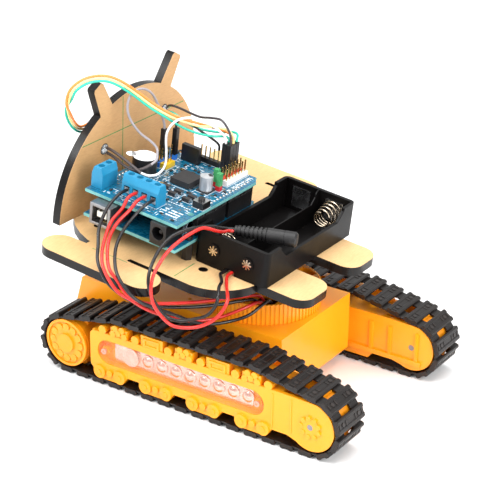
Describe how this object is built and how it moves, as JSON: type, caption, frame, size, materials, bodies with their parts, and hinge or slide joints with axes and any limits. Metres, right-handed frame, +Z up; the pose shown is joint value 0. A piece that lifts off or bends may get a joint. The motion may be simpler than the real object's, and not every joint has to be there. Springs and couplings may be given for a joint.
{
  "type": "tracked tank chassis",
  "caption": "Tracked robot chassis with two geared drives, a domed-front deck, stacked control boards, battery holder and loose wiring.",
  "frame": {"origin": "on the ground, midway between the wheel axles and on the mid-plane", "axes": "+X forward (the domed plate's side), +Y left, +Z up"},
  "size_m": [0.1724, 0.1571, 0.1481],
  "materials": {
    "yellow_plastic": "moulded, satin",
    "belt_rubber": "matte with light scuffs",
    "pink_window": "clear, pink tint",
    "lamp_chrome": "metallised",
    "steel": "bright",
    "white_gear": "moulded",
    "gearbox_dark": "moulded",
    "black_sheet": "polished laser-cut edge",
    "kraft_film": "protective paper film",
    "board_blue": "solder mask",
    "black_plastic": "moulded",
    "terminal_blue": "moulded",
    "gold_pins": "plated",
    "led_clear": "clear",
    "wire_black_slot": "soft sleeve",
    "wire_red_slot": "soft sleeve",
    "wire_orange_slot": "ribbon strand",
    "wire_yellow_slot": "ribbon strand",
    "wire_teal_slot": "ribbon strand",
    "wire_white_slot": "soft sleeve",
    "wire_grey_slot": "soft sleeve",
    "sleeve_dark": "heat-shrunk"
  },
  "bodies": {
    "chassis": {"housing": "yellow_plastic", "cover": "yellow_plastic", "slew_ring": "yellow_plastic", "frame_l": "yellow_plastic", "frame_r": "yellow_plastic", "windows": "pink_window", "lamps": "lamp_chrome", "screws": "steel", "belt_l": "belt_rubber", "belt_r": "belt_rubber", "pins": "steel", "motors": "steel", "gearbox": "gearbox_dark", "deck_plate": "black_sheet", "head_plate": "black_sheet", "films": "kraft_film", "standoffs": "black_plastic", "main_board": "board_blue", "main_parts": "black_plastic", "usb_socket": "steel", "dc_jack": "black_plastic", "shield_board": "board_blue", "shield_parts": "black_plastic", "terminals": "terminal_blue", "buzzer": "black_plastic", "header_blocks": "black_plastic", "header_pins": "gold_pins", "battery_holder": "black_plastic", "battery_contacts": "steel", "plug": "black_plastic", "sockets": "black_plastic", "leds": "led_clear", "sensor": "board_blue", "motor_wire_a": "wire_black_slot", "motor_wire_b": "wire_red_slot", "motor_wire_c": "wire_red_slot", "motor_wire_d": "wire_black_slot", "battery_black": "wire_black_slot", "battery_red": "wire_red_slot", "wire_orange": "wire_orange_slot", "wire_yellow": "wire_yellow_slot", "wire_teal": "wire_teal_slot", "wire_teal_b": "wire_teal_slot", "wire_white": "wire_white_slot", "wire_grey": "wire_grey_slot", "led_wire_far": "sleeve_dark", "wire_black": "wire_black_slot", "led_sleeves": "sleeve_dark"},
    "drive_l": {"hub_l": "yellow_plastic", "shaft_l": "steel"},
    "drive_r": {"hub_r": "yellow_plastic", "shaft_r": "steel"},
    "rear_wheel_l": {"idler_l": "yellow_plastic"},
    "rear_wheel_r": {"idler_r": "yellow_plastic"},
    "lay_gear_l": {"lay_l": "white_gear"},
    "lay_gear_r": {"lay_r": "white_gear"},
    "motor_gear_l": {"pinion_l": "white_gear"},
    "motor_gear_r": {"pinion_r": "white_gear"},
    "reset_button": {"button_cap": "black_plastic"}
  },
  "joints": [
    {"name": "drive_wheel_l", "type": "hinge", "parent": "chassis", "child": "drive_l", "pos_m": [0.0704, 0.04, 0.0156], "axis": [0, 1, 0], "continuous": true},
    {"name": "rear_wheel_spin_l", "type": "hinge", "parent": "chassis", "child": "rear_wheel_l", "pos_m": [-0.0704, 0.046, 0.0156], "axis": [0, 1, 0], "continuous": true},
    {"name": "lay_gear_spin_l", "type": "hinge", "parent": "chassis", "child": "lay_gear_l", "pos_m": [0.05671, 0.02, 0.01851], "axis": [0, 1, 0], "continuous": true},
    {"name": "motor_gear_spin_l", "type": "hinge", "parent": "chassis", "child": "motor_gear_l", "pos_m": [0.04278, 0.024, 0.01997], "axis": [0, 1, 0], "continuous": true},
    {"name": "drive_wheel_r", "type": "hinge", "parent": "chassis", "child": "drive_r", "pos_m": [0.0704, -0.04, 0.0156], "axis": [0, 1, 0], "continuous": true},
    {"name": "rear_wheel_spin_r", "type": "hinge", "parent": "chassis", "child": "rear_wheel_r", "pos_m": [-0.0704, -0.046, 0.0156], "axis": [0, 1, 0], "continuous": true},
    {"name": "lay_gear_spin_r", "type": "hinge", "parent": "chassis", "child": "lay_gear_r", "pos_m": [0.05671, -0.02, 0.01851], "axis": [0, 1, 0], "continuous": true},
    {"name": "motor_gear_spin_r", "type": "hinge", "parent": "chassis", "child": "motor_gear_r", "pos_m": [0.04278, -0.024, 0.01997], "axis": [0, 1, 0], "continuous": true},
    {"name": "reset_press", "type": "slide", "parent": "chassis", "child": "reset_button", "axis": [0.1115, 0, -0.9938], "range_m": [0, 0.00025], "stiffness_N_per_m": 400}
  ],
  "couplings": [
    {"joint": "rear_wheel_spin_l", "follows": "drive_wheel_l", "ratio": 1},
    {"joint": "lay_gear_spin_l", "follows": "drive_wheel_l", "ratio": -3},
    {"joint": "motor_gear_spin_l", "follows": "drive_wheel_l", "ratio": 9},
    {"joint": "rear_wheel_spin_r", "follows": "drive_wheel_r", "ratio": 1},
    {"joint": "lay_gear_spin_r", "follows": "drive_wheel_r", "ratio": -3},
    {"joint": "motor_gear_spin_r", "follows": "drive_wheel_r", "ratio": 9}
  ]
}
